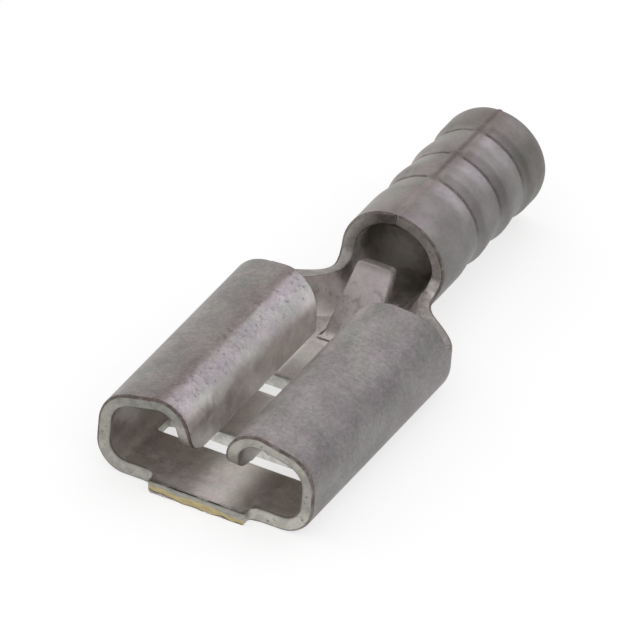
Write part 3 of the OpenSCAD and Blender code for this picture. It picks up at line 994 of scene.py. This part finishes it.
    def worn_normal(self, strength=0.25):
        fine = self.bump(self.noise(8, 2, 0.5), 0.002, strength)
        return self.bump(self.noise(1.3, 2, 0.5), 0.03, 0.5, fine)

    def unevenly_matte(self):
        return self.ramp(self.noise(2.6, 3, 0.6), 0.3, 0.7, 0.42, 0.56)

    def metal(self, tone, roughness, normal):
        shader = self.add("ShaderNodeBsdfPrincipled")
        shader.inputs["Metallic"].default_value = 1.0
        self.feed(shader.inputs["Base Color"], tone)
        self.feed(shader.inputs["Roughness"], roughness)
        self.feed(shader.inputs["Normal"], normal)
        self.surface("ShaderNodeOutputMaterial", shader)
        return self.material


def make_outside(finish):
    """Plate outside: rubbed by the curling tools, with painted light and shade over the rolls, the
    barrel and the grooves, pitted, stained in the grooves.
    """
    n = Metal("Rubbed tin plate")
    n.across = n.math("ADD", n.x, n.sway(n.noise(1.3, 3, 0.6, (1, 0.35, 1)), 0.7))
    on_barrel = n.region(rear=(-0.2, 1.2))
    # The tones across the rolls and the barrel hold painted light and shade as well as the plate's
    # own tone
    tone = n.blend(on_barrel, n.tones(n.across, ROLL_TONES), n.tones(n.x, BARREL_TONES))
    sizes = bpy.context.scene.terminal_sizes
    n.past = past_groove(n, sizes)
    tone = stain_grooves(n, tone, finish.stain, sizes)
    tone = stain_seam(n, tone)

    # Dirt gathers behind the front arris, and the inner slope is a little duller there
    dusty = n.region(n.ramp(n.noise(3.2, 3, 0.6), 0.42, 0.6), front=(0.36, 0.05), z=(1.2, 2.0))
    tone = n.stain(tone, dusty, 0.5)
    slope = n.region(front=(2.1, 0.1), x=(-1.2, -0.9, 0.0, 0.1))
    tone = n.shade(tone, slope, 0.95)
    lower = n.region(rear=(-0.1, -0.9), x=(-1.15, -0.9, 0.0, 0.1))
    tone = n.mottled(tone, finish.mottle, n.most(on_barrel, lower))
    # Pits gather where the left roll was burnished, and are few on the barrel
    gather = n.region(across=(-2.3, -1.7, -1.1, -0.7))
    level = n.math("ADD", n.noise(5, 4, 0.7), n.part(gather, -0.08))
    level = n.math("ADD", level, n.part(on_barrel, 0.04))
    tone = n.stain(tone, n.ramp(level, 0.38, 0.26), 0.5)
    return n.metal(tone, n.unevenly_matte(), n.worn_normal())


def past_groove(n, sizes):
    """How far a place is past the nearest groove, with a little waver."""
    first, pitch = n.marks["groove"], sizes.groove_pitch / MM
    nearest = n.math("ROUND", n.math("DIVIDE", n.math("SUBTRACT", n.y, first), pitch))
    nearest = n.math("MINIMUM", n.math("MAXIMUM", nearest, 0.0), sizes.grooves - 1.0)
    wavy = n.math("ADD", n.y, n.sway(n.noise(2.5), 0.08))
    return n.math("SUBTRACT", n.math("SUBTRACT", wavy, first), n.part(nearest, pitch))


def stain_grooves(n, tone, dirt, sizes):
    """Grooves: a dark crease, painted shade on the rise behind it, a painted highlight on
    the fall before it, and all of it duller behind the last one."""
    top = n.region(z=(1.6, 2.6))
    dull = n.region(top, past=(-0.02, 0.04, 0.28, 0.5), side=(0.12, 0.3), x=(0.05, 0.25))
    bright = n.region(top, n.ramp(n.noise(1.7, 2), 0.3, 0.55, 0.5),
                      past=(-0.85, -0.45, -0.16, -0.08), x=(0.15, 0.4, 1.1, 1.6))
    crease = n.region(top, n.ramp(n.noise(4), 0.3, 0.5, 0.55),
                      past=(-0.07, -0.02, 0.02, 0.09), side=(0.12, 0.3))
    tone = n.shade(tone, dull, 0.76)
    tone = n.tint(tone, bright, (1.33, 1.35, 1.40))
    last = (sizes.grooves - 1) * sizes.groove_pitch / MM
    behind = n.part(n.region(groove=(last, last + 0.3)), 0.8)
    tone = n.tint(tone, behind, (0.78, 0.78, 0.74))
    return n.stain(tone, crease, 0.75, dirt)


def stain_seam(n, tone):
    """Seam: a painted highlight before the first groove, and dirty behind it, most at a groove."""
    top, line = (3.2, 3.4), (0.15, 0.02)
    pale = n.region(side=line, z=top, mouth=(0.0, 0.3), groove=(-0.1, -0.5))
    tone = n.tint(tone, pale, (1.20, 1.12, 1.12))
    dark = n.region(n.ramp(n.noise(2.2, 3, 0.6), 0.3, 0.55, 0.6),
                    side=line, z=top, groove=(-0.2, 0.1))
    meeting = n.region(side=(0.3, 0.05), z=top, past=(-0.25, -0.05, 0.05, 0.25))
    return n.stain(tone, n.most(dark, meeting), 0.6)


def make_inside(finish):
    """Plate inside: unrubbed, with painted light where shade would fall in the rolls and the neck,
    and darker further into the barrel.
    """
    n = Metal("Unrubbed tin plate")
    deep = n.region(mouth=(-0.3, 0.9))
    # Painted light: the pale inside colour in the rolls and the neck, and the darker bore further
    # into the barrel
    tone = n.mottled(n.blend(deep, finish.inside, finish.bore), finish.mottle * 0.5)
    # Painted light brightens the plate just inside the mouth on the left, and the bore is a little
    # lighter further in
    lit = n.region(mouth=(-0.3, 0.0, 0.4, 1.3), x=(-0.6, -1.3))
    tone = n.shade(n.shade(tone, lit, 2.2), deep, 1.1)
    # The tongue and the middle of the neck have their painted light toned down, and the neck's
    # walls carry painted shade low down and painted light higher up
    neck = n.region(mouth=(-3.8, -3.0, -0.2, 0.2))
    rubbed = n.region(neck, n.ramp(n.z, 0.4, 1.4, 0.3), side=(2.2, 1.2))
    tone = n.tint(tone, rubbed, (0.70, 0.665, 0.71))
    tone = n.shade(tone, n.region(neck, side=(0.8, 1.2), z=(0.8, 0.5)), 0.84)
    tone = n.shade(tone, n.region(neck, side=(0.8, 1.2), z=(0.7, 1.3)), 1.2)
    # A painted highlight makes the mouth brightest at its left rim, and the bore is blotched
    # further in
    tone = n.shade(tone, n.region(mouth=(-0.6, -0.1, 0.25, 0.6), x=(-0.7, -1.5)), 1.2)
    blotched = n.both(deep, n.ramp(n.noise(1.1, 3, 0.6), 0.48, 0.62))
    tone = n.stain(tone, blotched, 0.4, finish.stain)
    # Painted shade darkens the left wall under its roll
    tone = n.shade(tone, n.region(x=(-2.9, -3.3), rear=(-0.4, -1.4), z=(2.4, 1.8)), 0.8)
    # Painted shade darkens the hollow of the right curl, dirt lies behind the stub's arris, and the
    # score is darkened along its line
    hollow = n.region(x=(0.85, 1.0, 1.6, 1.8), z=(1.45, 2.1), front=(0.8, 0.1))
    tone = n.stain(tone, hollow, 0.8)
    by_stub = n.region(n.ramp(n.noise(5, 3, 0.7), 0.3, 0.6),
                       stub=(0.065, 0.095, 0.135, 0.225), z=(0.35, 0.42))
    tone = n.stain(tone, by_stub, 0.35)
    score = n.region(score=(-0.075, -0.025, 0.025, 0.065), side=(0.95, 0.85))
    tone = n.stain(tone, score, 0.6)
    # The neck is worn in patches, and the floor between the rolls is duller
    tone = n.stain(tone, n.both(neck, n.ramp(n.noise(3.2, 4, 0.65), 0.45, 0.30)), 0.35)
    channel = n.region(rear=(-2.6, -2.3, -0.1, 0.3), side=(1.1, 0.9))
    tone = n.shade(tone, channel, 0.78)
    tone = n.stain(tone, n.ramp(n.noise(7, 2, 0.7), 0.33, 0.26), 0.4, finish.stain)
    return n.metal(tone, n.unevenly_matte(), n.worn_normal(0.12))


def make_arris(finish):
    """Rolled-over arris, with dirt and torn specks along the front edges."""
    n = Metal("Speckled arris")
    front = n.marks["front"]
    edges = n.most(n.ramp(n.y, front + 0.4, front + 1.4, 1.0, 0.2),
                   n.part(n.region(mouth=(-0.68, -0.18, 0.32, 0.72)), 0.8))
    specks = n.ramp(n.noise(2.8, 3, 0.65), 0.34, 0.58, 0.4)
    tone = n.stain((0.30, 0.28, 0.265), n.region(edges, specks, z=(0.2, 1.2)), 0.95)
    # Painted light: the lips' arrises, which lie in shade under the curls, are made much lighter
    lips = n.region(side=(1.1, 0.95), z=(0.6, 0.7, 1.5, 1.7), front=(0.4, 1.0))
    tone = n.shade(tone, lips, 2.3)
    tone = n.blend(n.region(stub=(0.18, 0.08), z=(0.2, 0.1)), tone, finish.brass)
    return n.metal(n.mottled(tone, finish.mottle), 0.5, n.worn_normal())


def make_sheared(finish):
    """Sheared edge: lighter in the slots with painted light, warmer at the neck, stained by the
    seam.
    """
    n = Metal("Sheared edge")
    streaks = n.ramp(n.noise(3.5, 4, 0.65), 0.35, 0.65)
    tone = n.blend(n.region(rear=(-0.8, 0.0)), finish.sheared, (0.40, 0.372, 0.355))
    # Painted light: the slots' sheared walls, deep in the floor under the rolls, are made much
    # lighter
    slots = n.region(z=(0.5, 0.44), side=(2.8, 2.3), front=(1.4, 1.7, 7.1, 7.4))
    tone = n.tint(tone, slots, (1.80, 1.84, 1.94))
    # It is a little brighter as far back as the bridge
    front = n.marks["front"]
    tone = n.scale(tone, n.ramp(n.y, front + 3.4, front + 3.8, 1.08, 1.0))
    # The right side is brighter at the waist and by the mouth, and the front edge is
    #     duller over the left crest and on the flanks, and brighter at the right foot
    waist = n.region(x=(0.6, 1.0), mouth=(-2.28, -1.78, -0.38, -0.18))
    by_mouth = n.region(x=(0.9, 1.3), mouth=(-0.28, -0.08, 0.32, 0.72))
    at_front = n.region(front=(0.4, 0.2))
    crest = n.region(at_front, x=(0.4, -0.8), z=(2.2, 2.7))
    flanks = n.region(at_front, side=(2.6, 3.2), z=(0.7, 1.2, 2.0, 2.5))
    foot = n.region(at_front, x=(1.4, 2.0), z=(1.2, 0.5))
    for part, times in ((waist, 1.7), (by_mouth, 1.2), (crest, 0.7), (flanks, 0.88),
                        (foot, 1.3)):
        tone = n.shade(tone, part, times)
    tone = n.scale(tone, n.ramp(streaks, 0, 1, 0.88, 1.1))
    by_seam = n.region(n.ramp(n.noise(1.8, 3, 0.6), 0.3, 0.6, 0.5),
                       x=(-1.1, -0.6, -0.05, 0.1), z=(2.6, 3.1),
                       mouth=(-0.68, -0.28, 0.32, 1.12))
    by_stub = n.region(n.ramp(n.noise(5, 3, 0.7), 0.3, 0.6), stub=(0.135, 0.085),
                       z=(0.37, 0.42))
    pits = n.ramp(n.noise(6, 2, 0.7), 0.38, 0.28)
    dirt = n.most(n.part(by_seam, 0.85), n.part(pits, 0.45), n.part(by_stub, 0.4))
    tone = n.blend(dirt, tone, finish.stain)
    return n.metal(tone, 0.5, n.bump(streaks, 0.01, 0.6))


def make_bare(finish):
    """Cut-off stub: tin smeared over its upper half, bare brass torn below."""
    n = Metal("Cut brass")
    streaks = n.ramp(n.noise(4, 4, 0.65, (1, 1, 3)), 0.35, 0.65)
    level = n.math("ADD", n.z, n.ramp(n.x, 0.4, 1.6, 0.0, 0.09))
    level = n.math("ADD", level, n.sway(n.noise(1.4, 2), 0.18))
    brass = n.scale(finish.brass, n.ramp(streaks, 0, 1, 0.88, 1.08))
    grey = n.scale(finish.sheared, n.ramp(streaks, 0, 1, 0.85, 1.1))
    tone = n.blend(n.ramp(level, 0.25, 0.31), brass, grey)
    return n.metal(tone, 0.42, n.bump(streaks, 0.01, 0.6))


# ---------------------------------------------------------------- stage

class TerminalStage(bpy.types.PropertyGroup):
    """Where the camera stands and how bright the lights are"""

    azimuth: angle("Azimuth", "Turn of the camera round the terminal", 24.632)
    elevation: angle("Elevation", "Height of the camera above the floor", 34.087)
    roll: angle("Roll", "Roll of the camera", -5.0)
    distance: length("Distance", "From the camera to the terminal", 550)
    aim: FloatVectorProperty(
        name="Aim", description="Place at the middle of the frame", size=3, precision=5,
        default=(-0.4701 * MM, -1.0854 * MM, 1.7255 * MM), subtype="TRANSLATION", unit="LENGTH")
    lens: FloatProperty(name="Lens", description="Focal length", default=998.775, unit="CAMERA")
    sky: FloatProperty(name="Sky", description="Strength of the surroundings", default=0.8)
    key: FloatProperty(name="Key", description="Power of the overhead panel", default=0.02)
    fill: FloatProperty(name="Fill", description="Power of the panel on the left", default=0.006)


class TERMINAL_OT_stage(bpy.types.Operator):
    """Sets the floor, the soft lights and the camera"""

    bl_idname = "terminal.stage"
    bl_label = "Set Stage"

    def execute(self, context):
        stage = context.scene.terminal_stage
        self.lay_floor()
        self.surround(context.scene, stage.sky)
        self.hang_panel("key_light", (0.02, 0.10, 0.20), 0.16, stage.key)
        self.hang_panel("left_light", (-0.20, 0.02, 0.12), 0.12, stage.fill)
        self.aim_camera(context.scene, stage)
        context.scene.view_settings.view_transform = "Standard"
        return {"FINISHED"}

    def lay_floor(self):
        deselect()
        bpy.ops.mesh.primitive_plane_add(size=4)
        floor = bpy.context.object
        floor.name = "floor"
        floor.data.materials.append(make_backdrop())

    def surround(self, scene, sky):
        """White where it is seen, and as bright as the sky where it only lights."""
        scene.world = bpy.data.worlds.new("Surroundings")
        tree = Tree(scene.world)
        shine = tree.add("ShaderNodeBackground")
        strength = tree.ramp(tree.seen_directly(), 0, 1, sky, 1.0, "LINEAR")
        tree.link(strength, shine.inputs["Strength"])
        tree.surface("ShaderNodeOutputWorld", shine)

    def hang_panel(self, name, place, size, power):
        deselect()
        bpy.ops.object.light_add(type="AREA", location=place)
        lamp = bpy.context.object
        lamp.name = name
        lamp.data.size = size
        lamp.data.energy = power
        lamp.rotation_euler = (-Vector(place)).to_track_quat("-Z", "Y").to_euler()

    def aim_camera(self, scene, stage):
        a, e, roll = stage.azimuth, stage.elevation, stage.roll
        across = Vector((math.cos(a), math.sin(a), 0))
        back = Vector((math.sin(a) * math.cos(e), -math.cos(a) * math.cos(e), math.sin(e)))
        up = back.cross(across)
        right = across * math.cos(roll) - up * math.sin(roll)
        top = across * math.sin(roll) + up * math.cos(roll)
        deselect()
        bpy.ops.object.camera_add()
        camera = bpy.context.object
        camera.name = "camera"
        camera.matrix_world = Matrix.Translation(Vector(stage.aim) + back * stage.distance) @ \
            Matrix((right, top, back)).transposed().to_4x4()
        camera.data.lens = stage.lens
        camera.data.sensor_width = 36
        camera.data.clip_start = 0.01
        camera.data.clip_end = 10
        scene.camera = camera


def make_backdrop():
    """Pale matte floor that glows to white where it is seen and isn't in shadow."""
    material = bpy.data.materials.new("Backdrop")
    tree = Tree(material)
    matte = tree.add("ShaderNodeBsdfDiffuse")
    matte.inputs["Color"].default_value = (0.55, 0.55, 0.55, 1)
    glow = tree.add("ShaderNodeEmission")
    tree.link(tree.math("MULTIPLY", tree.seen_directly(), 0.65), glow.inputs["Strength"])
    joined = tree.add("ShaderNodeAddShader")
    for socket, shader in zip(joined.inputs, (matte, glow)):
        tree.link(shader.outputs[0], socket)
    tree.surface("ShaderNodeOutputMaterial", joined)
    return material


class VIEW3D_PT_terminal(bpy.types.Panel):
    """Sizes, finish and stage of the terminal"""

    bl_label = "Spade Terminal"
    bl_space_type = "VIEW_3D"
    bl_region_type = "UI"
    bl_category = "Terminal"

    def draw(self, context):
        for heading, group, operator in (
                ("Strip", context.scene.terminal_sizes, TERMINAL_OT_fold),
                ("Finish", context.scene.terminal_finish, None),
                ("Stage", context.scene.terminal_stage, TERMINAL_OT_stage)):
            box = self.layout.box()
            box.label(text=heading)
            for name in type(group).__annotations__:
                box.prop(group, name)
            if operator:
                box.operator(operator.bl_idname)


CLASSES = (
    TerminalSizes, TerminalFinish, TerminalStage,
    TERMINAL_OT_fold, TERMINAL_OT_stage, VIEW3D_PT_terminal)
GROUPS = {
    "terminal_sizes": TerminalSizes,
    "terminal_finish": TerminalFinish,
    "terminal_stage": TerminalStage,
}


def register():
    for cls in CLASSES:
        bpy.utils.register_class(cls)
    for name, group in GROUPS.items():
        setattr(bpy.types.Scene, name, PointerProperty(type=group))


def unregister():
    for name in GROUPS:
        delattr(bpy.types.Scene, name)
    for cls in reversed(CLASSES):
        bpy.utils.unregister_class(cls)


def main():
    register()
    bpy.ops.terminal.fold()
    bpy.ops.terminal.stage()


if __name__ == "__main__":
    main()
